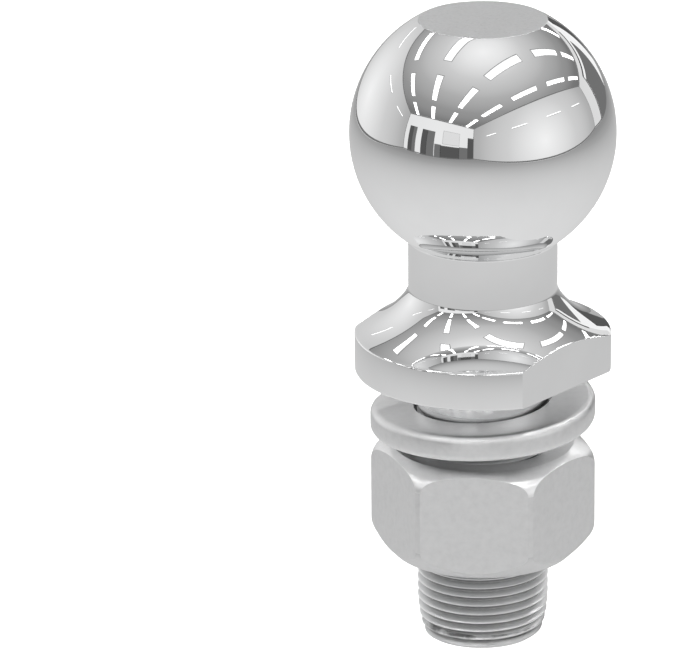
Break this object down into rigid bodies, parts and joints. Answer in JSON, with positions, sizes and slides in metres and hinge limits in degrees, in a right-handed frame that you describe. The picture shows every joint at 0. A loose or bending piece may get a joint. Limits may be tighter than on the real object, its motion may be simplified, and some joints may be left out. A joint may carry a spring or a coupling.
{
  "type": "threaded tow ball",
  "caption": "Threaded-shank tow ball: plated ball on a flanged neck with wrench flats, held by a coiled spring washer and a hex nut.",
  "frame": {"origin": "on the shank's axis, in the plane of the flange's seat", "axes": "+Z along the shank's axis towards the ball, +X square to the wrench flats"},
  "size_m": [0.0508, 0.0508, 0.1237],
  "materials": {
    "chrome_plate": "mirror-bright plating over forged steel",
    "zinc_plate": "satin zinc plating over steel"
  },
  "bodies": {
    "ball": {"tow_ball": "chrome_plate"},
    "washer": {"lock_washer": "zinc_plate"},
    "nut": {"hex_nut": "zinc_plate"}
  },
  "joints": [
    {"name": "washer_slide", "type": "slide", "parent": "ball", "child": "washer", "axis": [0, 0, -1], "range_m": [-0.00455, 0.0395]},
    {"name": "nut_turn", "type": "hinge", "parent": "washer", "child": "nut", "pos_m": [0, 0, -0.0258], "axis": [0, 0, -1], "range_deg": [-902.8, 7837.7]}
  ],
  "couplings": [
    {"joint": "washer_slide", "follows": "nut_turn", "m_per_rad": 0.00028875}
  ]
}
